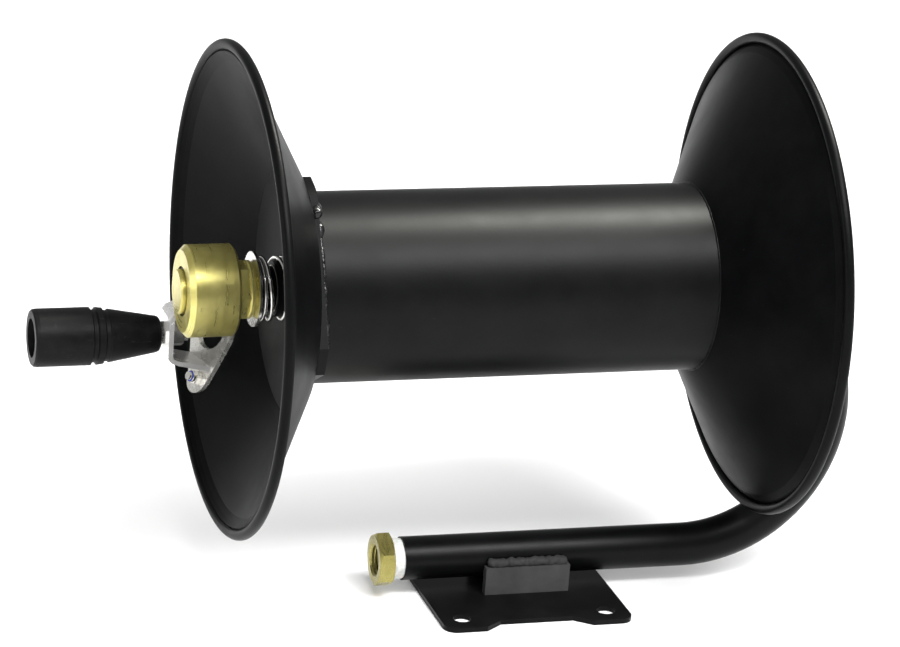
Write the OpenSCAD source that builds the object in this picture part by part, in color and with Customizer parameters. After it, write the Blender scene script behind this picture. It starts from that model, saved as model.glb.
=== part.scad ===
// Hand-cranked hose reel with bent pipe frame, base plate, drum, swivel and crank.
// Origin: middle of the underside of the base plate. X along the drum axis, Z up.
// Units: millimetres.

/* [Drum] */
// Height of the drum axis above the underside of the base plate
axis_h = 200.5; // [180:0.5:260]
// Drum centre along X from the middle of the base plate
drum_x = -22; // [-40:1:0]
// Drum tube outside diameter
drum_d = 114.3; // [90:0.1:140]
// Drum tube wall
drum_wall = 2.5; // [1.5:0.1:4]
// Distance from drum centre to the hub face of the right disc
hub_x = 121; // [90:1:160]

/* [Discs] */
// Disc outside diameter over the rolled rim
disc_d = 296; // [260:1:320]
// Disc sheet thickness
disc_t = 1.6; // [1:0.1:2.5]
// Rise of the cone per millimetre of radius
cone_rise = 0.53; // [0.3:0.01:0.7]
// Radius of the flat hub of the right disc
hub_flat_r = 58; // [57.5:0.5:62]
// Radius of the rolled rim section
rim_r = 3.2; // [2:0.1:5]
// Radius of the flat hub of the left disc
left_flat_r = 76; // [74:0.5:80]
// Diameter of the hose hole in the left disc
hose_hole_d = 24; // [16:1:28]
// Half side of the square hub plate
plate_half = 58.5; // [57.5:0.5:62]
// Thickness of the square hub plate
hub_plate_t = 6; // [4:0.5:8]

/* [Frame] */
// Frame pipe outside diameter
pipe_d = 26.9; // [21.3:0.1:33.7]
// Frame pipe inside diameter
pipe_bore_d = 20.5; // [15:0.1:27]
// Height of the lower pipe run above the underside of the base plate
pipe_z = 22.5; // [18:0.5:40]
// Start of the bend from the drum centre
bend_x = 133; // [128:1:150]
// Left end of the lower pipe run from the drum centre
pipe_end_x = -50; // [-90:1:0]

/* [Base plate] */
// Base plate length along X
plate_l = 120; // [100:1:160]
// Base plate width along Y
plate_w = 130; // [100:1:160]
// Base plate thickness
plate_t = 3; // [2:0.5:6]
// Bolt hole diameter
hole_d = 11.5; // [8:0.5:13]
// Bolt hole spacing along X
hole_sx = 92; // [70:1:130]
// Bolt hole spacing along Y
hole_sy = 101; // [70:1:130]

/* [Swivel] */
// Swivel body diameter
swivel_d = 55; // [45:0.1:65]
// Swivel body length
swivel_l = 30.5; // [20:0.1:40]
// Swivel stem diameter
stem_d = 26.4; // [20:0.1:30]
// Hex of the swivel neck across flats
neck_af = 30.6; // [28:0.1:36]
// Hex of the inlet bushing across flats
inlet_af = 30.4; // [27:0.1:36]

/* [Crank] */
// Spindle offset along Y from the drum axis
crank_y = 93; // [80:1:105]
// Spindle offset below the drum axis
crank_drop = 60; // [40:1:70]
// Spindle diameter
spindle_d = 9.5; // [8:0.1:12]
// Grip outside diameter
grip_d = 36; // [28:0.5:42]
// Grip length
grip_l = 79.4; // [60:0.1:110]

/* [Hidden] */

$fn = 96;
black = [0.06, 0.06, 0.065];
brass = [0.71, 0.62, 0.30];
zinc = [0.78, 0.77, 0.74];

// derived values
pipe_r = pipe_d / 2;
bend_r = (axis_h - pipe_z) / 2;
drum_r = drum_d / 2;
cone_a = atan(cone_rise);
cone_k = 1 / cos(cone_a);
rim_c = disc_d / 2 - rim_r;
rim_x = hub_x + (rim_c - hub_flat_r) * cone_rise;
face_x = hub_x + disc_t * cone_k;
left_hub_x = hub_x + (left_flat_r - hub_flat_r) * cone_rise;
drum_left_x = left_hub_x - hub_plate_t;
flange_t = 2.5;
bolt_span = 29;
hub_r = 16.85;
hub_bore_r = 14.15;
hub_left_x = -141;
hub_right_x = 124.6;
swivel_right_x = -165.15;
swivel_left_x = swivel_right_x - swivel_l;
stem_left_x = -198.6;
grip_right_x = -186.4;
web_x = -182.5;
web_t = 3;
head_x = grip_right_x - grip_l + 11.5;
eps = 0.05;
spring_r = 18.5;
wire_r = 1.25;
spring_l = 151.1 - left_hub_x - disc_t - 2 * wire_r;
dead = 1.2;
live = 1;
dead_p = 2.62;
live_p = (spring_l - 2 * dead * dead_p) / live;

// height of the crank side surface of the disc at radius r
function face_at(r) = face_x + (r - hub_flat_r) * cone_rise;

// drum frame: X along the axis, origin at the drum centre
module on_axis() {
  translate([drum_x, 0, axis_h]) children();
}

// lower pipe frame: X along the pipe
module on_pipe() {
  translate([drum_x, 0, pipe_z]) children();
}

// solid of revolution about X from points [radius, x]
module turned(points, start = 0, sweep = 360) {
  rotate([0, 90, 0])
    rotate([0, 0, start + 90])
      rotate_extrude(angle = sweep)
        polygon(points);
}

// cylinder along X between x0 and x1
module rod(x0, x1, r) {
  translate([x0, 0, 0]) rotate([0, 90, 0]) cylinder(h = x1 - x0, r = r);
}

// hexagonal bar along X between x0 and x1
module hex_rod(x0, x1, af, turn) {
  translate([x0, 0, 0])
    rotate([turn, 0, 0])
      rotate([0, 90, 0])
        cylinder(h = x1 - x0, r = af / sqrt(3), $fn = 6);
}

// local frame on the crank side of the left disc, Z out of the surface
module on_cone(y, z) {
  r = norm([y, z]);
  rotate([atan2(z, y), 0, 0])
    translate([-face_at(r), r, 0])
      rotate([0, 0, cone_a])
        rotate([0, -90, 0])
          children();
}

// places children at both flange bolts
module at_bolts() {
  for (side = [-1, 1])
    on_cone(crank_y + 3.5 * side, -crank_drop + side * bolt_span) children();
}

// full outside shape of the frame pipe, offset by a radius
module pipe_path(r, x_low, x_high) {
  on_pipe() rod(x_low, bend_x, r);
  on_axis() rod(x_high, bend_x, r);
  translate([drum_x + bend_x, 0, pipe_z + bend_r])
    rotate([90, 0, 0])
      rotate([0, 0, -90])
        rotate_extrude(angle = 180)
          translate([bend_r, 0])
            circle(r = r);
}

module frame_pipe() {
  color(black)
    difference() {
      pipe_path(pipe_r, pipe_end_x, -163);
      pipe_path(pipe_bore_d / 2, pipe_end_x - 1, -164);
    }
}

module plate_outline() {
  tab = 26;
  notch = 8.5;
  c = 8;
  difference() {
    union() {
      square([plate_l, plate_w - 2 * c], center = true);
      square([plate_l - 2 * c, plate_w], center = true);
      for (sx = [-1, 1])
        for (sy = [-1, 1])
          translate([sx * (plate_l / 2 - c), sy * (plate_w / 2 - c)]) circle(r = c);
    }
    for (sy = [-1, 1])
      polygon([
        [-plate_l / 2 + tab, sy * plate_w / 2],
        [-plate_l / 2 + tab + 11, sy * (plate_w / 2 - notch)],
        [plate_l / 2 - tab - 11, sy * (plate_w / 2 - notch)],
        [plate_l / 2 - tab, sy * plate_w / 2],
        [plate_l / 2 - tab, sy * (plate_w / 2 + 5)],
        [-plate_l / 2 + tab, sy * (plate_w / 2 + 5)]
      ]);
  }
}

module base_plate() {
  color(black)
    difference() {
      linear_extrude(plate_t) plate_outline();
      for (sx = [-1, 1])
        for (sy = [-1, 1])
          translate([sx * hole_sx / 2, sy * hole_sy / 2, -1])
            cylinder(h = plate_t + 2, r = hole_d / 2);
    }
}

module saddle_bars() {
  color(black)
    difference() {
      for (sy = [-1, 1])
        translate([-22, sy * 15.8 - 2.8, plate_t]) cube([54, 5.6, 17.6]);
      on_pipe() rod(-20, 80, pipe_r);
    }
}

module frame_welds() {
  top = plate_t + 17.6;
  color(black)
    difference() {
      for (sy = [-1, 1])
        translate([-20, sy * 15.2, top + 0.6]) rotate([0, 90, 0]) cylinder(h = 50, r = 3.1);
      on_pipe() rod(-20, 80, pipe_r);
      translate([-30, -30, top - 10]) cube([70, 60, 10]);
    }
}

module inlet_bushing() {
  x1 = pipe_end_x - 7;
  x0 = x1 - 10;
  color(brass)
    on_pipe()
      difference() {
        union() {
          intersection() {
            hex_rod(x0, x1, inlet_af, 0);
            turned([
              [0, x0], [inlet_af / 2 - 0.4, x0], [inlet_af / 2 + 2.6, x0 + 1.8],
              [inlet_af / 2 + 2.6, x1 - 1.8], [inlet_af / 2 - 0.4, x1], [0, x1]
            ]);
          }
          rod(x1 - 0.5, pipe_end_x + 14, pipe_bore_d / 2 - eps);
        }
        rod(x0 - 1, pipe_end_x + 15, 6.8);
        rod(x0 - 1, x0 + 10, 9.3);
        turned([[0, x0 - 1], [11.5, x0 - 1], [10.5, x0], [9.3, x0 + 1.2], [0, x0 + 1.2]]);
      }
}

module sealing_tape() {
  color([0.95, 0.95, 0.93])
    on_pipe()
      difference() {
        turned([
          [0, pipe_end_x - 7], [12.9, pipe_end_x - 7], [13.1, pipe_end_x - 5],
          [12.7, pipe_end_x - 1.5], [12.3, pipe_end_x], [0, pipe_end_x]
        ]);
        rod(pipe_end_x - 8, pipe_end_x + 1, pipe_bore_d / 2 - eps);
      }
}

module swivel_stem() {
  neck_l = -164.8;
  neck_r = -153.3;
  color(brass)
    on_axis()
      difference() {
        union() {
          hex_rod(neck_l, -157.5, neck_af, 30);
          turned([
            [0, -157.6], [16.9, -157.6], [17.4, -156.6], [17.4, -155], [15.8, neck_r],
            [0, neck_r]
          ]);
          turned([
            [0, neck_l + 0.5], [stem_d / 2, neck_l + 0.5], [stem_d / 2, stem_left_x + 0.8],
            [stem_d / 2 - 0.8, stem_left_x], [0, stem_left_x]
          ]);
        }
        rod(-163, neck_r + 1, pipe_r + 0.02);
        rod(-187, -160, 7.5);
        for (x = [-191.4, -174.4])
          turned([[11, x], [15, x], [15, x + 2.8], [11, x + 2.8]]);
        turned([[12.1, -194.8], [15, -194.8], [15, -193.1], [12.1, -193.1]]);
        turned([[10.6, -187], [15, -187], [15, -178], [10.6, -178]]);
        for (a = [0, 90])
          translate([-182.5, 0, 0])
            rotate([a, 0, 0])
              translate([0, 0, -12]) cylinder(h = 24, r = 3);
      }
}

module stem_seals() {
  color([0.05, 0.05, 0.05])
    on_axis()
      for (x = [-190, -173])
        rotate([0, 90, 0])
          translate([0, 0, x])
            rotate_extrude()
              translate([12.1, 0]) circle(r = 1.08);
}

module stem_clip() {
  color(zinc)
    on_axis()
      difference() {
        rod(-194.7, -193.4, 14.3);
        rod(-195, -193, 12.12);
        translate([-196, -2, -20]) cube([4, 4, 20]);
      }
}

module thrust_washer() {
  color(zinc)
    on_axis()
      difference() {
        rod(-153.3, -151.7, 22.4);
        rod(-154, -151, pipe_r + 0.1);
      }
}

module axle_collar() {
  color(black)
    on_axis()
      difference() {
        turned([
          [0, 125], [19, 125], [20, 126], [20, 131], [19, 132], [0, 132]
        ]);
        rod(124, 133, pipe_r);
      }
}

module drum_tube() {
  color(black)
    on_axis()
      difference() {
        rod(-drum_left_x, hub_x, drum_r);
        rod(-drum_left_x - 1, hub_x + 1, drum_r - drum_wall);
      }
}

// dished disc with a flat hub of radius flat_r and its rim further out
module disc_body(flat_r) {
  ox = disc_t * cone_k;
  x0 = hub_x + (flat_r - hub_flat_r) * cone_rise;
  turned([
    [hub_r, x0], [flat_r, x0], [136, hub_x + (136 - hub_flat_r) * cone_rise],
    [139.5, rim_x - 2.1], [141.9, rim_x + 0.5], [140.6, rim_x + 1.4],
    [138.4, rim_x - 0.7], [135.2, hub_x + (135.2 - hub_flat_r) * cone_rise + ox],
    [flat_r - 0.4, x0 + disc_t], [hub_r, x0 + disc_t]
  ]);
  rotate([0, 90, 0])
    translate([0, 0, rim_x])
      rotate_extrude()
        translate([rim_c, 0]) circle(r = rim_r);
}

// hose hole through the left disc
module hose_hole() {
  rotate([242, 0, 0]) translate([-160, 76, 0]) rod(0, 60, hose_hole_d / 2);
}

module left_disc() {
  color(black)
    on_axis()
      difference() {
        mirror([1, 0, 0]) disc_body(left_flat_r);
        hose_hole();
        at_bolts() translate([0, 0, -6]) cylinder(h = 12, r = 2.6);
      }
}

module right_disc() {
  color(black) on_axis() disc_body(hub_flat_r);
}

// square plate with clipped corners between the drum and the left disc
module hub_plate() {
  color(black)
    on_axis()
      difference() {
        intersection() {
          rod(-left_hub_x, -drum_left_x, 74);
          rotate([152, 0, 0])
            translate([-left_hub_x - 1, -plate_half, -plate_half])
              cube([hub_plate_t + 2, 2 * plate_half, 2 * plate_half]);
        }
        rod(-left_hub_x - 1, -drum_left_x + 1, hub_r);
      }
}

module drum_welds() {
  l = -drum_left_x;
  color(black)
    on_axis() {
      for (a = [93, 183])
        turned([
          [drum_r, l], [drum_r + 6, l], [drum_r + 1.6, l + 4], [drum_r, l + 4.4]
        ], a, 28);
      for (a = [273, 3])
        turned([[drum_r, l], [drum_r + 4, l], [drum_r, l + 4]], a, 28);
      turned([
        [drum_r, hub_x], [drum_r, hub_x - 3], [hub_flat_r + 2.2, hub_x + 1.166],
        [hub_flat_r, hub_x]
      ]);
    }
}

module hub_tube() {
  color(black)
    on_axis()
      difference() {
        rod(hub_left_x, hub_right_x, hub_r);
        rod(hub_left_x - 1, hub_right_x + 1, hub_bore_r);
      }
}

module hub_bushes() {
  color([0.80, 0.78, 0.70])
    on_axis()
      for (x = [hub_left_x, hub_right_x - 22])
        difference() {
          rod(x, x + 22, hub_bore_r);
          rod(x - 1, x + 23, pipe_r + 0.06);
        }
}

// centre line of the spring, t in turns
function spring_x(t) =
  t < dead ? t * dead_p :
  t < dead + live ? dead * dead_p + (t - dead) * live_p :
  dead * dead_p + live * live_p + (t - dead - live) * dead_p;

module brake_spring() {
  steps = 108;
  sides = 12;
  turns = 2 * dead + live;
  pts = [
    for (i = [0 : steps])
      let (t = turns * i / steps, a = 360 * t + 60)
        for (j = [0 : sides - 1])
          let (b = 360 * j / sides, r = spring_r + wire_r * cos(b))
            [spring_x(t) + wire_r * sin(b), r * cos(a), r * sin(a)]
  ];
  faces = concat(
    [[for (j = [0 : sides - 1]) j]],
    [
      for (i = [0 : steps - 1])
        for (j = [0 : sides - 1])
          let (k = (j + 1) % sides)
            [i * sides + j, (i + 1) * sides + j, (i + 1) * sides + k, i * sides + k]
    ],
    [[for (j = [sides - 1 : -1 : 0]) steps * sides + j]]
  );
  color(zinc)
    on_axis()
      translate([wire_r - 151.1, 0, 0])
        polyhedron(points = pts, faces = faces, convexity = 6);
}

module swivel_body() {
  l = swivel_left_x;
  r = swivel_right_x;
  b = swivel_d / 2;
  color(brass)
    on_axis()
      difference() {
        turned([
          [stem_d / 2 + eps, l], [b - 3, l], [b, l + 3], [b, r - 1.6], [b - 1.6, r],
          [stem_d / 2 + eps, r]
        ]);
        turned([[0, l - 1], [14.9, l - 1], [14.9, -192.8], [0, -192.8]]);
        turned([[0, -187], [16.5, -187], [16.5, -178], [0, -178]]);
        translate([-182.5, 0, 0])
          rotate([180, 0, 0]) {
            cylinder(h = 40, r = 4);
            translate([0, 0, b - 10]) cylinder(h = 20, r = 7.4);
            translate([0, 0, b - 2.2]) cylinder(h = 4, r1 = 7.4, r2 = 11.4);
          }
      }
}

// two-bolt outline in the Y-Z plane, round the spindle
module flange_outline() {
  c = 17;
  e = 8.8;
  span = norm([bolt_span, 3.5]);
  b = asin((c - e) / span);
  polygon([
    for (m = [0, 180])
      for (q = [[0, c, -90 + b, 90 - b, 0], [1, e, b, 180 - b, 1]])
        let (n = q[0] == 0 ? 8 : 14, a0 = q[0] == 0 ? -b : b, a1 = q[0] == 0 ? b : 180 - b)
          for (i = [0 : n])
            let (a = a0 + (a1 - a0) * i / n + m)
              [q[1] * cos(a) - q[4] * span * sin(m), q[1] * sin(a) + q[4] * span * cos(m)]
  ]);
}

module crank_flange() {
  g = flange_t * cone_k;
  color(zinc)
    on_axis()
      difference() {
        intersection() {
          mirror([1, 0, 0])
            turned([
              [80, face_at(80)], [135, face_at(135)], [135, face_at(135) + g],
              [80, face_at(80) + g]
            ]);
          translate([-200, crank_y, -crank_drop])
            rotate([90, 0, 90])
              rotate([0, 0, -atan(3.5 / bolt_span)])
                linear_extrude(100) flange_outline();
        }
        translate([-200, crank_y, -crank_drop]) rod(0, 100, 10.5);
        at_bolts() translate([0, 0, -3]) cylinder(h = 12, r = 2.6);
      }
}

module crank_bracket() {
  g = flange_t * cone_k;
  w = 12;
  color(zinc)
    on_axis()
      difference() {
        translate([0, crank_y + w, -crank_drop])
          rotate([90, 0, 0])
            linear_extrude(2 * w)
              difference() {
                polygon([
                  [-130, -28], [-176, -17.2], [-180.5, -15.4], [web_x, -12.6],
                  [web_x, 12.6], [-180.5, 15.4], [-176, 17.2], [-130, 28]
                ]);
                polygon([
                  [-120, -26], [-176.4, -14.2], [-178.6, -13.2], [web_x + web_t, -11.4],
                  [web_x + web_t, 11.4], [-178.6, 13.2], [-176.4, 14.2], [-120, 26]
                ]);
              }
        mirror([1, 0, 0])
          turned([
            [40, 100], [170, 100], [170, face_at(170) + g], [40, face_at(40) + g]
          ]);
        translate([0, crank_y, -crank_drop]) rod(-200, -160, spindle_d / 2 + eps);
      }
}

module flange_bolts() {
  color(zinc)
    on_axis()
      at_bolts() {
        translate([0, 0, -disc_t - 3.4]) cylinder(h = 3.4, r = 8 / sqrt(3), $fn = 6);
        translate([0, 0, -disc_t - 0.1]) cylinder(h = 12.6, r = 2.5);
      }
}

module flange_nuts() {
  color(zinc)
    on_axis()
      at_bolts()
        translate([0, 0, flange_t + 0.15])
          difference() {
            union() {
              cylinder(h = 4.2, r = 8 / sqrt(3), $fn = 6);
              cylinder(h = 6, r = 3.9);
            }
            translate([0, 0, -1]) cylinder(h = 9, r = 2.5);
            translate([0, 0, 4.4]) cylinder(h = 2, r = 3.4);
          }
}

module nut_inserts() {
  color([0.12, 0.16, 0.55])
    on_axis()
      at_bolts()
        translate([0, 0, flange_t + 4.55])
          difference() {
            cylinder(h = 1.5, r = 3.4);
            translate([0, 0, -1]) cylinder(h = 4, r = 2.5);
          }
}

module crank_spindle() {
  color(zinc)
    on_axis()
      translate([0, crank_y, -crank_drop]) {
        hex_rod(head_x - 5.4, head_x, 14, 0);
        rod(head_x - 0.2, -168.5, spindle_d / 2);
      }
}

module spindle_nuts() {
  color(zinc)
    on_axis()
      translate([0, crank_y, -crank_drop])
        difference() {
          union() {
            hex_rod(grip_right_x + 0.3, web_x, 14, 0);
            hex_rod(web_x + web_t, web_x + web_t + 7.5, 14, 0);
          }
          rod(-200, -160, spindle_d / 2);
        }
}

module grip() {
  l = grip_right_x - grip_l;
  r = grip_d / 2;
  color([0.08, 0.08, 0.085])
    on_axis()
      translate([0, crank_y, -crank_drop])
        turned([
          [12, l], [r - 1.2, l], [r - 0.3, l + 1], [r, l + 3], [r, l + 35.6],
          [r - 1.6, l + 36.4], [r - 1.6, l + 38.8], [r - 0.2, l + 39.6],
          [r - 0.6, l + 43.4], [r - 2.2, l + 44.2], [r - 2.2, l + 46.6],
          [r - 1.4, l + 47.4], [r - 6.6, l + 77.2], [r - 7.2, l + 78.6],
          [r - 8.4, grip_right_x], [7, grip_right_x], [7, l + 11.8], [12, l + 11.8]
        ]);
}

module grip_sleeve() {
  l = grip_right_x - grip_l;
  color(zinc)
    on_axis()
      translate([0, crank_y, -crank_drop])
        turned([
          [spindle_d / 2 + eps, head_x + 0.3], [7, head_x + 0.3],
          [7, grip_right_x], [spindle_d / 2 + eps, grip_right_x]
        ]);
}

frame_pipe();
base_plate();
saddle_bars();
frame_welds();
inlet_bushing();
sealing_tape();
swivel_stem();
stem_seals();
stem_clip();
thrust_washer();
axle_collar();
drum_tube();
left_disc();
right_disc();
hub_plate();
drum_welds();
hub_tube();
hub_bushes();
brake_spring();
swivel_body();
crank_flange();
crank_bracket();
flange_bolts();
flange_nuts();
nut_inserts();
crank_spindle();
spindle_nuts();
grip();
grip_sleeve();
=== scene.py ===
# Hose reel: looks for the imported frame. Metres, same frame as the CAD.
import math

import bpy
from mathutils import Matrix, Vector, noise


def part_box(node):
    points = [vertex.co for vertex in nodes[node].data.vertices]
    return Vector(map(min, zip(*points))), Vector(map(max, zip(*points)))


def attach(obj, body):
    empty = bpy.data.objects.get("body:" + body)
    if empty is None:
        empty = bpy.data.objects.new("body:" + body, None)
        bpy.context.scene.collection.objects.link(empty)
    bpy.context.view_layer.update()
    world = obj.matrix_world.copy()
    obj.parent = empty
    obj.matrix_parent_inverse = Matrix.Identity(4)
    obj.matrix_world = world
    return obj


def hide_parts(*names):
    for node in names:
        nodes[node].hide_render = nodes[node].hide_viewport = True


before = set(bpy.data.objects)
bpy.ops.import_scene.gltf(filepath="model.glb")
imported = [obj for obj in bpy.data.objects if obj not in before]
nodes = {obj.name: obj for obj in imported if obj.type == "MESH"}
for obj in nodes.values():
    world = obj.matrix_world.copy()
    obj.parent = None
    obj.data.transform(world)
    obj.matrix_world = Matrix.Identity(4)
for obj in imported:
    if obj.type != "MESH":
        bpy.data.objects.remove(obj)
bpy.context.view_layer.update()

# reference places taken from the frame itself
drum_low, drum_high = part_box("drum_tube")
axis_y = (drum_low.y + drum_high.y) / 2
axis_z = (drum_low.z + drum_high.z) / 2
drum_r = (drum_high.z - drum_low.z) / 2
grip_low, grip_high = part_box("grip")
crank_y = (grip_low.y + grip_high.y) / 2
crank_z = (grip_low.z + grip_high.z) / 2
inlet_low, inlet_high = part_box("inlet_bushing")
pipe_z = (inlet_low.z + inlet_high.z) / 2


# ---------------------------------------------------------------- node helpers
class Nodes:
    """A small builder for one material's node tree."""

    def __init__(self, name):
        self.mat = bpy.data.materials.new(name)
        self.mat.use_nodes = True
        self.tree = self.mat.node_tree
        self.tree.nodes.clear()
        self.out = self.tree.nodes.new("ShaderNodeOutputMaterial")
        self.bsdf = self.tree.nodes.new("ShaderNodeBsdfPrincipled")
        self.link(self.bsdf.outputs[0], self.out.inputs[0])
        self.coord = self.tree.nodes.new("ShaderNodeTexCoord").outputs["Object"]

    def link(self, a, b):
        self.tree.links.new(a, b)

    def put(self, value, socket):
        if isinstance(value, (int, float)):
            socket.default_value = value
        elif isinstance(value, (tuple, list)):
            socket.default_value = value
        else:
            self.link(value, socket)

    def math(self, op, a, b=0.0, c=0.0, clamp=False):
        n = self.tree.nodes.new("ShaderNodeMath")
        n.operation = op
        n.use_clamp = clamp
        for value, socket in zip((a, b, c), n.inputs):
            self.put(value, socket)
        return n.outputs[0]

    def times(self, a, b):
        return self.math("MULTIPLY", a, b)

    def separate(self, vector):
        n = self.tree.nodes.new("ShaderNodeSeparateXYZ")
        self.link(vector, n.inputs[0])
        return n.outputs

    def combine(self, x, y, z):
        n = self.tree.nodes.new("ShaderNodeCombineXYZ")
        for value, socket in zip((x, y, z), n.inputs):
            self.put(value, socket)
        return n.outputs[0]

    def around(self, y0, z0):
        """Distance from an axis along X, and the angle round it."""
        x, y, z = self.separate(self.coord)
        dy = self.math("SUBTRACT", y, y0)
        dz = self.math("SUBTRACT", z, z0)
        r = self.math("SQRT", self.math("ADD", self.times(dy, dy), self.times(dz, dz)))
        return x, r, self.math("ARCTAN2", dz, dy)

    def stretched(self, parts, scales):
        """A noise vector of the parts, each with its own scale."""
        return self.combine(*(self.times(p, k) for p, k in zip(parts, scales)))

    def noise(self, scale, detail=3.0, rough=0.55, vector=None, distort=0.0):
        n = self.tree.nodes.new("ShaderNodeTexNoise")
        n.inputs["Scale"].default_value = scale
        n.inputs["Detail"].default_value = detail
        n.inputs["Roughness"].default_value = rough
        n.inputs["Distortion"].default_value = distort
        self.link(vector or self.coord, n.inputs["Vector"])
        return n.outputs[0]

    def cells(self, scale, vector=None):
        n = self.tree.nodes.new("ShaderNodeTexVoronoi")
        n.inputs["Scale"].default_value = scale
        self.link(vector or self.coord, n.inputs["Vector"])
        return n.outputs["Distance"]

    def span(self, value, a, b, c, d):
        """Maps a..b onto c..d, clamped."""
        n = self.tree.nodes.new("ShaderNodeMapRange")
        n.clamp = True
        for v, socket in zip((value, a, b, c, d), n.inputs):
            self.put(v, socket)
        return n.outputs[0]

    def mix(self, factor, a, b):
        n = self.tree.nodes.new("ShaderNodeMix")
        n.data_type = "RGBA"
        self.put(factor, n.inputs[0])
        self.put(a if not isinstance(a, tuple) else (*a, 1.0), n.inputs[6])
        self.put(b if not isinstance(b, tuple) else (*b, 1.0), n.inputs[7])
        return n.outputs[2]

    def bump(self, height, strength, distance, normal=None):
        n = self.tree.nodes.new("ShaderNodeBump")
        n.inputs["Strength"].default_value = strength
        n.inputs["Distance"].default_value = distance
        self.link(height, n.inputs["Height"])
        if normal is not None:
            self.link(normal, n.inputs["Normal"])
        return n.outputs[0]

    def done(self, base=None, rough=None, normal=None, **fixed):
        if base is not None:
            colour = (*base, 1.0) if isinstance(base, tuple) else base
            self.put(colour, self.bsdf.inputs["Base Color"])
        if rough is not None:
            self.put(rough, self.bsdf.inputs["Roughness"])
        if normal is not None:
            self.link(normal, self.bsdf.inputs["Normal"])
        names = {
            "metal": "Metallic",
            "ior": "IOR",
            "spec": "Specular IOR Level",
            "coat": "Coat Weight",
            "coat_rough": "Coat Roughness",
            "sheen": "Sheen Weight",
            "sub": "Subsurface Weight",
            "sub_scale": "Subsurface Scale",
            "aniso": "Anisotropic",
        }
        for key, value in fixed.items():
            self.bsdf.inputs[names[key]].default_value = value
        return self.mat


# ------------------------------------------------------------------- materials
def powder_coat(name, dark, light, rough, lines=0.0, gloss=0.0, shine=0.06):
    """Black powder coat: fine orange peel, soft mottling, dust specks, optional turning lines."""
    n = Nodes(name)
    mottle = n.noise(38.0, 4.0, 0.6)
    fine = n.noise(2400.0, 2.0, 0.5)
    peel = n.noise(700.0, 2.0, 0.5)
    specks = n.span(n.cells(240.0), 0.022, 0.05, 1.0, 0.0)
    keep = n.span(n.noise(55.0, 2.0, 0.5), 0.54, 0.62, 0.0, 1.0)
    specks = n.times(specks, keep)
    base = n.mix(n.span(mottle, 0.35, 0.68, 0.0, 1.0), dark, light)
    base = n.mix(n.times(specks, 0.35), base, (0.16, 0.15, 0.14))
    smear = n.noise(14.0, 5.0, 0.62, distort=0.6)
    r = n.math("ADD", n.span(smear, 0.3, 0.7, rough - 0.035, rough + 0.05), n.times(fine, 0.05))
    height = n.math("ADD", n.times(peel, 0.7), n.times(fine, 0.3))
    normal = n.bump(height, 0.16, 0.0003)
    if lines:
        x, radius, angle = n.around(axis_y, axis_z)
        ring_vector = n.combine(n.times(radius, 900.0), n.times(angle, 0.25), 0.0)
        ring = n.noise(1.0, 3.0, 0.6, vector=ring_vector)
        normal = n.bump(ring, lines, 0.0004, normal)
    return n.done(base, r, normal, spec=shine, coat=gloss, coat_rough=0.18)


def turned_metal(name, y0, z0, dark, light, rough, marks):
    """Machined metal with turning lines round an axis, tarnish and scuff marks."""
    n = Nodes(name)
    around = n.around(y0, z0)
    grooves = n.noise(1.0, 2.0, 0.6, vector=n.stretched(around, (1300.0, 1300.0, 0.9)))
    bands = n.noise(1.0, 2.0, 0.5, vector=n.stretched(around, (520.0, 520.0, 0.35)))
    stain = n.noise(130.0, 5.0, 0.65, distort=1.1)
    cloud = n.noise(45.0, 3.0, 0.55)
    base = n.mix(n.span(cloud, 0.35, 0.65, 0.0, 1.0), dark, light)
    stained = n.times(n.span(stain, 0.60, 0.74, 0.0, 1.0), marks)
    base = n.mix(stained, base, tuple(0.34 * v for v in dark))
    x, radius, angle = around
    scratch = n.noise(1.0, 4.0, 0.7, vector=n.stretched((x, angle, radius), (160.0, 26.0, 160.0)))
    scratched = n.times(n.span(scratch, 0.66, 0.74, 0.0, 1.0), marks * 0.8)
    base = n.mix(scratched, base, tuple(0.45 * v for v in dark))
    r = n.math("ADD", n.span(bands, 0.3, 0.7, rough - 0.05, rough + 0.06),
               n.times(n.span(stain, 0.5, 0.75, 0.0, 1.0), 0.13))
    normal = n.bump(grooves, 0.05, 0.00012)
    normal = n.bump(n.noise(500.0, 2.0, 0.5), 0.05, 0.0002, normal)
    return n.done(base, r, normal, metal=0.8)


def zinc(name, tint, rough, brush=0.0, y0=0.0, z0=0.0, metal=1.0):
    """Bright zinc plate: crisp spangle-free metal with handling marks."""
    n = Nodes(name)
    cloud = n.noise(110.0, 4.0, 0.6)
    fine = n.noise(1900.0, 2.0, 0.5)
    base = n.mix(n.span(cloud, 0.35, 0.7, 0.0, 1.0), tuple(0.90 * v for v in tint), tint)
    rub = n.noise(330.0, 3.0, 0.6, distort=1.6)
    base = n.mix(n.times(n.span(rub, 0.64, 0.72, 0.0, 1.0), 0.12), base, (0.35, 0.34, 0.31))
    r = n.math("ADD", n.span(cloud, 0.3, 0.7, rough - 0.04, rough + 0.06), n.times(fine, 0.06))
    normal = n.bump(fine, 0.10, 0.0002)
    if brush:
        x, radius, angle = n.around(y0, z0)
        turned = n.stretched((radius, x, angle), (4200.0, 4200.0, 1.2))
        lines = n.noise(1.0, 2.0, 0.5, vector=turned)
        normal = n.bump(lines, brush, 0.00012, normal)
    return n.done(base, r, normal, metal=metal)


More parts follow.
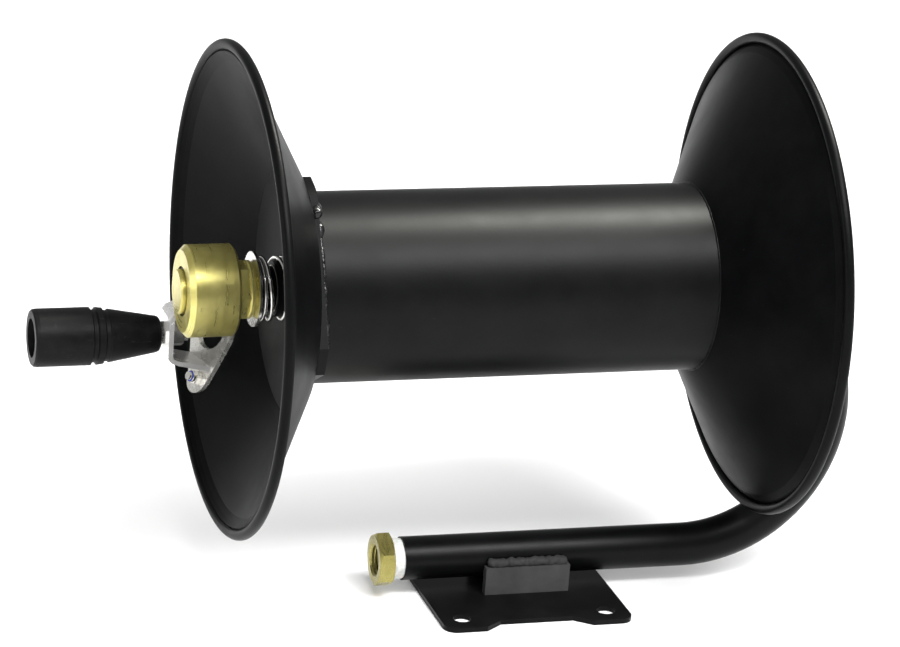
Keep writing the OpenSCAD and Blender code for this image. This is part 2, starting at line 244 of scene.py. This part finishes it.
def weld_paint(name, lumpy=0.55, gloss=0.5):
    """Glossier paint run thick over a weld bead, with pinholes, and a few spatter dots painted
    pale as a painted highlight (glints).
    """
    n = Nodes(name)
    lump = n.noise(260.0, 4.0, 0.6)
    grain = n.noise(1500.0, 3.0, 0.6)
    pits = n.span(n.cells(650.0), 0.05, 0.22, 0.0, 1.0)
    base = n.mix(n.span(lump, 0.4, 0.65, 0.0, 1.0), (0.004, 0.004, 0.0045), (0.013, 0.013, 0.014))
    # painted highlight: a few spatter dots get a pale base colour that stands in for glints off
    # the bead
    spatter_glint_dots = n.span(n.cells(420.0), 0.03, 0.07, 1.0, 0.0)
    painted_glint = n.times(spatter_glint_dots, n.span(n.noise(120.0), 0.57, 0.62, 0.0, 1.0))
    base = n.mix(painted_glint, base, (0.14, 0.14, 0.135))
    r = n.span(lump, 0.35, 0.7, 0.20, 0.40)
    normal = n.bump(lump, lumpy, 0.0011)
    normal = n.bump(n.times(grain, pits), 0.30, 0.0005, normal)
    return n.done(base, r, normal, spec=0.16, coat=gloss, coat_rough=0.12)


def rubber(name):
    """Moulded black rubber with a fine leathery skin and a few pale rub marks."""
    n = Nodes(name)
    x, radius, angle = n.around(crank_y, crank_z)
    skin = n.noise(1300.0, 3.0, 0.6)
    wave = n.noise(120.0, 3.0, 0.55)
    dust = n.noise(420.0, 5.0, 0.7, distort=0.8)
    dark, light = (0.0040, 0.0040, 0.0042), (0.0078, 0.0078, 0.0082)
    base = n.mix(n.span(wave, 0.35, 0.7, 0.0, 1.0), dark, light)
    base = n.mix(n.times(n.span(dust, 0.60, 0.75, 0.0, 1.0), 0.28), base, (0.085, 0.083, 0.08))
    scuff = n.noise(1.0, 4.0, 0.7, vector=n.stretched((x, angle, radius), (90.0, 10.0, 90.0)))
    base = n.mix(n.times(n.span(scuff, 0.66, 0.73, 0.0, 1.0), 0.35), base, (0.13, 0.13, 0.125))
    r = n.span(wave, 0.3, 0.7, 0.40, 0.52)
    normal = n.bump(skin, 0.22, 0.0003)
    normal = n.bump(wave, 0.10, 0.0012, normal)
    return n.done(base, r, normal, spec=0.10)


def tape_white(name):
    """Thread tape: soft white, layered edges, slightly see-through."""
    n = Nodes(name)
    fold = n.noise(480.0, 4.0, 0.6, distort=0.5)
    fine = n.noise(2600.0, 2.0, 0.5)
    base = n.mix(n.span(fold, 0.35, 0.7, 0.0, 1.0), (0.46, 0.47, 0.45), (0.62, 0.63, 0.61))
    normal = n.bump(fold, 0.30, 0.0005)
    normal = n.bump(fine, 0.12, 0.0002, normal)
    return n.done(base, n.span(fine, 0.3, 0.7, 0.42, 0.6), normal, sub=0.15, sub_scale=0.0012)


def plastic(name, dark, light, rough):
    n = Nodes(name)
    a = n.noise(300.0, 3.0, 0.5)
    b = n.noise(1800.0, 2.0, 0.5)
    base = n.mix(n.span(a, 0.35, 0.7, 0.0, 1.0), dark, light)
    return n.done(base, n.span(b, 0.3, 0.7, rough - 0.05, rough + 0.05), n.bump(b, 0.08, 0.0002))


BLACK_A, BLACK_B = (0.0016, 0.0017, 0.0019), (0.0030, 0.0031, 0.0034)
coat = powder_coat("coat_satin", BLACK_A, BLACK_B, 0.36)
coat_drum = powder_coat("coat_drum", BLACK_A, BLACK_B, 0.36, shine=0.10)
coat_disc = powder_coat("coat_disc", BLACK_A, BLACK_B, 0.36, lines=0.08, shine=0.035)
coat_pipe = powder_coat("coat_pipe", BLACK_A, BLACK_B, 0.33, shine=0.10)
coat_plate = powder_coat("coat_plate", (0.0036, 0.0036, 0.0038), (0.0066, 0.0066, 0.0070), 0.30)
coat_bar = powder_coat("coat_bar", (0.036, 0.036, 0.037), (0.054, 0.054, 0.055), 0.55)
weld = weld_paint("weld_paint", 0.45, 0.30)
plate_cut = powder_coat("plate_cut", BLACK_A, BLACK_B, 0.30, shine=0.08)
BRASS_A, BRASS_B = (0.51, 0.45, 0.13), (0.67, 0.60, 0.21)
brass_axis = turned_metal("brass_turned", axis_y, axis_z, BRASS_A, BRASS_B, 0.30, 0.05)
INLET_A, INLET_B = (0.28, 0.245, 0.07), (0.40, 0.355, 0.125)
brass_inlet = turned_metal("brass_inlet", 0.0, pipe_z, INLET_A, INLET_B, 0.28, 0.10)
zinc_flat = zinc("zinc_flat", (0.74, 0.73, 0.68), 0.22, metal=0.82)
zinc_strap = zinc("zinc_strap", (0.95, 0.94, 0.92), 0.20, metal=0.6)
zinc_bright = zinc("zinc_bright", (0.80, 0.79, 0.76), 0.16)
zinc_turned = zinc("zinc_turned", (0.74, 0.73, 0.70), 0.20, 0.25, axis_y, axis_z)
zinc_spindle = zinc("zinc_spindle", (0.74, 0.73, 0.70), 0.20, 0.25, crank_y, crank_z)
grip_rubber = rubber("grip_rubber")
seal_rubber = plastic("seal_rubber", (0.012, 0.012, 0.012), (0.02, 0.02, 0.02), 0.45)
tape = tape_white("thread_tape")
bush = plastic("bush_plastic", (0.62, 0.60, 0.52), (0.72, 0.70, 0.62), 0.4)
blue = plastic("blue_insert", (0.012, 0.03, 0.28), (0.03, 0.07, 0.42), 0.22)

looks = {
    "frame_pipe": coat_pipe,
    "base_plate": coat_plate,
    "saddle_bars": coat_bar,
    "frame_welds": weld,
    "inlet_bushing": brass_inlet,
    "sealing_tape": tape,
    "swivel_stem": brass_axis,
    "stem_seals": seal_rubber,
    "stem_clip": coat,
    "thrust_washer": zinc_turned,
    "axle_collar": coat,
    "drum_tube": coat_drum,
    "left_disc": coat_disc,
    "right_disc": coat_disc,
    "hub_plate": plate_cut,
    "drum_welds": weld,
    "hub_tube": coat,
    "hub_bushes": bush,
    "brake_spring": zinc_bright,
    "swivel_body": brass_axis,
    "crank_flange": zinc_flat,
    "crank_bracket": zinc_strap,
    "flange_bolts": zinc_bright,
    "flange_nuts": zinc_bright,
    "nut_inserts": blue,
    "crank_spindle": zinc_spindle,
    "spindle_nuts": zinc_bright,
    "grip": grip_rubber,
    "grip_sleeve": zinc_spindle,
}
for name, material in looks.items():
    mesh = nodes[name].data
    mesh.materials.clear()
    mesh.materials.append(material)
    for polygon in mesh.polygons:
        polygon.material_index = 0


# ---------------------------------------------------------------- mesh helpers
def build(name, points, faces, material, body, smooth=True, stands_for=()):
    mesh = bpy.data.meshes.new(name)
    mesh.from_pydata([tuple(p) for p in points], [], faces)
    mesh.validate()
    mesh.update()
    piece = bpy.data.objects.new(name, mesh)
    bpy.context.scene.collection.objects.link(piece)
    mesh.materials.append(material)
    if smooth:
        for polygon in mesh.polygons:
            polygon.use_smooth = True
    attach(piece, body)
    if stands_for:
        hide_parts(*stands_for)
    return piece


def tube_along(path, radii, sides, wobble=None, flat=1.0):
    """Points and faces of a closed tube swept along a path, capped flat at both ends."""
    points, faces = [], []
    count = len(path)
    up = Vector((0.0, 0.0, 1.0))
    for i, p in enumerate(path):
        ahead = path[min(i + 1, count - 1)] - path[max(i - 1, 0)]
        ahead.normalize()
        if abs(ahead.dot(up)) > 0.95:
            up = Vector((0.0, 1.0, 0.0))
        side = ahead.cross(up).normalized()
        top = side.cross(ahead).normalized()
        up = top
        for j in range(sides):
            a = 2 * math.pi * j / sides
            r = radii[i]
            q = p + side * (math.cos(a) * r) + top * (math.sin(a) * r * flat)
            if wobble:
                q = q + wobble(q, (q - p), i, j)
            points.append(q)
    for i in range(count - 1):
        for j in range(sides):
            k = (j + 1) % sides
            faces.append((i * sides + j, i * sides + k, (i + 1) * sides + k, (i + 1) * sides + j))
    faces.append(tuple(range(sides - 1, -1, -1)))
    faces.append(tuple((count - 1) * sides + j for j in range(sides)))
    return points, faces


def on_drum(x, r, a):
    """The point at radius r and angle a about the drum axis."""
    return Vector((x, axis_y + r * math.cos(a), axis_z + r * math.sin(a)))


def revolve(profile, y0, z0, steps, bend=None):
    """Closed ring of a closed (x, r) profile about an axis along X."""
    points, faces = [], []
    size = len(profile)
    for i in range(steps):
        a = 2 * math.pi * i / steps
        for j, (x, r) in enumerate(profile):
            if bend:
                x, r = bend(x, r, a, j)
            points.append((x, y0 + r * math.cos(a), z0 + r * math.sin(a)))
    for i in range(steps):
        k = (i + 1) % steps
        for j in range(size):
            m = (j + 1) % size
            faces.append((i * size + j, k * size + j, k * size + m, i * size + m))
    return points, faces


# ------------------------------------------------------------------ brake spring
spring_low, spring_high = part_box("brake_spring")
wire = 0.00125
coil_r = (spring_high.z - spring_low.z) / 2 - wire
turns_dead, turns_live = 1.2, 1.0
dead_pitch = 0.00262
free = spring_high.x - spring_low.x - 2 * wire
live_pitch = (free - 2 * turns_dead * dead_pitch) / turns_live


def spring_x(t):
    if t < turns_dead:
        return t * dead_pitch
    if t < turns_dead + turns_live:
        return turns_dead * dead_pitch + (t - turns_dead) * live_pitch
    past = t - turns_dead - turns_live
    return turns_dead * dead_pitch + turns_live * live_pitch + past * dead_pitch


path, radii = [], []
total = 2 * turns_dead + turns_live
steps = 300
for i in range(steps + 1):
    t = total * i / steps
    a = 2 * math.pi * t + math.radians(60)
    path.append(on_drum(spring_low.x + wire + spring_x(t), coil_r, a))
    end = min(i, steps - i)
    radii.append(wire * (1.0 if end > 1 else 0.8 + 0.2 * end))
points, faces = tube_along(path, radii, 16)
build("spring_coil", points, faces, zinc_bright, "drum", stands_for=("brake_spring",))


# --------------------------------------------------------------------- drum weld


def bead(x_mid, r_mid, start, sweep, size, lumps, seed):
    """Hand-laid bead round the drum seam, ripples and lumps from seeded noise."""
    path, radii = [], []
    steps = int(abs(sweep) * 2.2)
    for i in range(steps + 1):
        a = math.radians(start + sweep * i / steps)
        jig = noise.noise(Vector((a * 9.0, seed, 0.0))) * size * 0.28
        grow = 1.0 + 0.22 * noise.noise(Vector((a * 14.0, 3.1 + seed, 0.0)))
        for where, height, width in lumps:
            grow += height * math.exp(-((math.degrees(a) - where) / width) ** 2)
        ripple = 0.05 * math.sin(a * 95.0 + 2.5 * math.sin(a * 7.0))
        ends = min(1.0, 0.35 + min(i, steps - i) / 5.0)
        path.append(on_drum(x_mid + jig, r_mid + jig * 0.4, a))
        radii.append(size * (grow + ripple) * ends)

    def wobble(q, out, i, j):
        return out.normalized() * (noise.noise(q * 420.0) * size * 0.16)

    points, faces = tube_along(path, radii, 14, wobble)
    return points, faces


def join(parts):
    points, faces = [], []
    for p, f in parts:
        base = len(points)
        points.extend(p)
        faces.extend(tuple(base + k for k in face) for face in f)
    return points, faces


# the rolled rims, as smooth rings just over the disc edges
for name, disc, sign in (("left_rim_roll", "left_disc", -1), ("right_rim_roll", "right_disc", 1)):
    low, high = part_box(disc)
    roll = 0.0032
    cover = roll + 0.00007
    rim_x = low.x + roll if sign < 0 else high.x - roll
    rim_r = (high.z - low.z) / 2 - roll
    ring = [(rim_x + cover * math.cos(2 * math.pi * i / 28),
             rim_r + cover * math.sin(2 * math.pi * i / 28)) for i in range(28)]
    points, faces = revolve(ring, axis_y, axis_z, 420)
    build(name, points, faces, coat, "drum")

left_face = drum_low.x
right_face = drum_high.x
# each lump: where in degrees, how much it adds, how wide in degrees
RING_LUMPS = [
    (15, 1.8, 8), (33, 1.0, 5), (58, 0.5, 5), (104, 1.5, 7), (125, 2.2, 5), (141, 0.3, 4),
    (182, 1.4, 5), (191, 2.0, 6), (203, 1.1, 7), (238, 0.5, 6), (284, 1.9, 9), (301, 1.0, 5),
]
TOP_LUMPS = [(106, 0.3, 5), (121, 0.5, 4)]
NEAR_LUMPS = [(190, 0.5, 4), (203, 0.3, 4)]
beads = [
    bead(left_face + 0.0006, drum_r + 0.0003, 0, 359, 0.0013, RING_LUMPS, 1.7),
    bead(left_face - 0.0012, drum_r + 0.0100, 98, 26, 0.0026, TOP_LUMPS, 5.2),
    bead(left_face - 0.0012, drum_r + 0.0090, 186, 22, 0.0026, NEAR_LUMPS, 6.4),
]
points, faces = join(beads)
build("drum_seam_beads", points, faces, weld, "drum", stands_for=("drum_welds",))
points, faces = bead(right_face - 0.0001, drum_r + 0.0001, 0, 359, 0.0007, [], 9.9)
build("right_seam_bead", points, faces, coat_drum, "drum")


# ------------------------------------------------------------------ saddle welds
weld_low, weld_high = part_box("frame_welds")
parts = []
for side in (-1, 1):
    y = side * (abs(weld_low.y) - 0.0031)
    path, radii = [], []
    steps = 90
    for i in range(steps + 1):
        t = i / steps
        x = weld_low.x - 0.0004 + (weld_high.x - weld_low.x + 0.0008) * t
        jig = noise.noise(Vector((t * 9.0, 2.0 + side, 0.0)))
        path.append(Vector((x, y + 0.0004 * side, weld_low.z + 0.0020 + 0.0007 * jig)))
        swell = 1.0 + 0.20 * noise.noise(Vector((t * 16.0, 7.0, side)))
        radii.append(0.0030 * swell * min(1.0, 0.5 + min(i, steps - i) / 6.0))

    def wobble(q, out, i, j):
        height = noise.noise(q * 330.0) * 0.0008 + noise.noise(q * 900.0) * 0.00025
        return out.normalized() * height

    parts.append(tube_along(path, radii, 14, wobble, flat=0.95))
points, faces = join(parts)
weld_bar = powder_coat("weld_bar", (0.024, 0.024, 0.025), (0.040, 0.040, 0.041), 0.5)
build("saddle_beads", points, faces, weld_bar, "frame", stands_for=("frame_welds",))


# ------------------------------------------------------------------- thread tape
tape_low, tape_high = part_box("sealing_tape")
core = 0.0103
profile = []
waves = 9
for i in range(waves * 4 + 1):
    t = i / (waves * 4)
    x = tape_low.x + 0.00005 + (tape_high.x - tape_low.x - 0.0001) * t
    full = 0.0129 - 0.0007 * t * t
    step = 0.00016 * ((t * waves) % 1.0)
    profile.append((x, full + step))
profile.append((tape_high.x - 0.00005, core))
profile.append((tape_low.x + 0.00005, core))


def wrinkle(x, r, a, j):
    if r < 0.011:
        return x, r
    n1 = noise.noise(Vector((x * 500.0, math.cos(a) * 4.0, math.sin(a) * 4.0)))
    n2 = noise.noise(Vector((x * 1600.0, math.cos(a) * 14.0, math.sin(a) * 14.0)))
    edge = noise.noise(Vector((math.cos(a) * 3.0, math.sin(a) * 3.0, 5.0)))
    return x + 0.0003 * edge * (1.0 if j > 20 else 0.0), r + 0.00022 * n1 + 0.00009 * n2


points, faces = revolve(profile, 0.0, pipe_z, 180, wrinkle)
build("tape_wrap", points, faces, tape, "frame", stands_for=("sealing_tape",))


# ------------------------------------------------------------------ thread turns
def ridge_thread(x0, x1, y0, z0, radius, pitch, height, outside, sides=56):
    """A triangular thread ridge wound on (or in) a cylinder about X."""
    turns = (x1 - x0) / pitch
    steps = int(turns * sides)
    sign = 1.0 if outside else -1.0
    points, faces = [], []
    for i in range(steps + 1):
        t = i / steps
        a = 2 * math.pi * turns * t
        fade = min(1.0, min(i, steps - i) / (sides * 0.35))
        for dx, dr in ((-0.42, -0.25), (-0.09, 1.0), (0.09, 1.0), (0.42, -0.25)):
            r = radius + sign * height * (dr * fade if dr > 0 else dr)
            x = x0 + (x1 - x0) * t + dx * pitch
            points.append((x, y0 + r * math.cos(a), z0 + r * math.sin(a)))
    for i in range(steps):
        for j in range(4):
            k = (j + 1) % 4
            face = (i * 4 + j, (i + 1) * 4 + j, (i + 1) * 4 + k, i * 4 + k)
            faces.append(face if outside else face[::-1])
    first = (0, 1, 2, 3)
    last = tuple(steps * 4 + k for k in first)
    faces.append(first if outside else first[::-1])
    faces.append(last[::-1] if outside else last)
    return points, faces


thread_start, thread_end = inlet_low.x + 0.0016, inlet_low.x + 0.0098
thread_r, thread_pitch, thread_height = 0.0093, 0.0018, 0.0008
points, faces = ridge_thread(thread_start, thread_end, 0.0, pipe_z,
                             thread_r, thread_pitch, thread_height, False)
build("inlet_thread", points, faces, brass_inlet, "frame")

# ---------------------------------------------------------------------- stage
floor_mesh = bpy.data.meshes.new("floor")
size = 14.0
corners = [(-size, -size, 0), (size, -size, 0), (size, size, 0), (-size, size, 0)]
floor_mesh.from_pydata(corners, [], [(0, 1, 2, 3)])
floor = bpy.data.objects.new("floor", floor_mesh)
bpy.context.scene.collection.objects.link(floor)
floor.location.z = -0.0002
n = Nodes("floor_pale")
floor_mesh.materials.append(n.done((0.92, 0.92, 0.92), 0.7, None, spec=0.1))


def area(name, position, aim, width, height, power, colour=(1.0, 1.0, 1.0)):
    data = bpy.data.lights.new(name, "AREA")
    data.shape = "RECTANGLE"
    data.size = width
    data.size_y = height
    data.energy = power
    data.color = colour
    lamp = bpy.data.objects.new(name, data)
    bpy.context.scene.collection.objects.link(lamp)
    lamp.location = position
    lamp.rotation_euler = (Vector(aim) - Vector(position)).to_track_quat("-Z", "Y").to_euler()
    return lamp




def sky(name, direction, angle, strength):
    data = bpy.data.lights.new(name, "SUN")
    data.energy = strength
    data.angle = math.radians(angle)
    lamp = bpy.data.objects.new(name, data)
    bpy.context.scene.collection.objects.link(lamp)
    lamp.rotation_euler = Vector(direction).to_track_quat("-Z", "Y").to_euler()
    return lamp


sky("sky_soft", (-0.42, 0.70, -1.0), 36, 1.9)
fill = sky("sky_fill", (0.0, 0.05, -1.0), 175, 2.2)
fill.visible_glossy = False
area("key", (0.15, -1.20, 1.75), (0.0, 0.0, 0.12), 1.5, 0.42, 38.0)
strip = area("strip", (1.05, 0.26, 1.9), (1.05, 0.0, 0.2), 1.3, 0.40, 135.0, (1.0, 1.0, 0.93))
strip.visible_diffuse = False
card = area("card", (-1.7, -0.35, 0.75), (-0.2, 0.0, 0.17), 0.9, 0.7, 6.0)
card.visible_diffuse = False

world = bpy.data.worlds.new("studio")
bpy.context.scene.world = world
world.use_nodes = True
back = world.node_tree.nodes.get("Background")
back.inputs[0].default_value = (1.0, 1.0, 1.0, 1.0)
back.inputs[1].default_value = 0.36
bpy.context.scene.view_settings.view_transform = "Standard"

# --------------------------------------------------------------------- camera
target = Vector((-0.0509, 0.0, 0.1747))
ahead = Vector((0.2882, 0.8998, -0.3277)).normalized()
roll = math.radians(4.08)
right = ahead.cross(Vector((0.0, 0.0, 1.0))).normalized()
top = right.cross(ahead).normalized()
side = right * math.cos(roll) + top * math.sin(roll)
top = side.cross(ahead).normalized()
camera_data = bpy.data.cameras.new("camera")
camera_data.sensor_width = 36.0
camera_data.lens = 153.7
camera = bpy.data.objects.new("camera", camera_data)
bpy.context.scene.collection.objects.link(camera)
place = Matrix((
    (side.x, top.x, -ahead.x, 0.0),
    (side.y, top.y, -ahead.y, 0.0),
    (side.z, top.z, -ahead.z, 0.0),
    (0.0, 0.0, 0.0, 1.0),
))
camera_distance = 2.315
place.translation = target - ahead * camera_distance
camera.matrix_world = place
bpy.context.scene.camera = camera
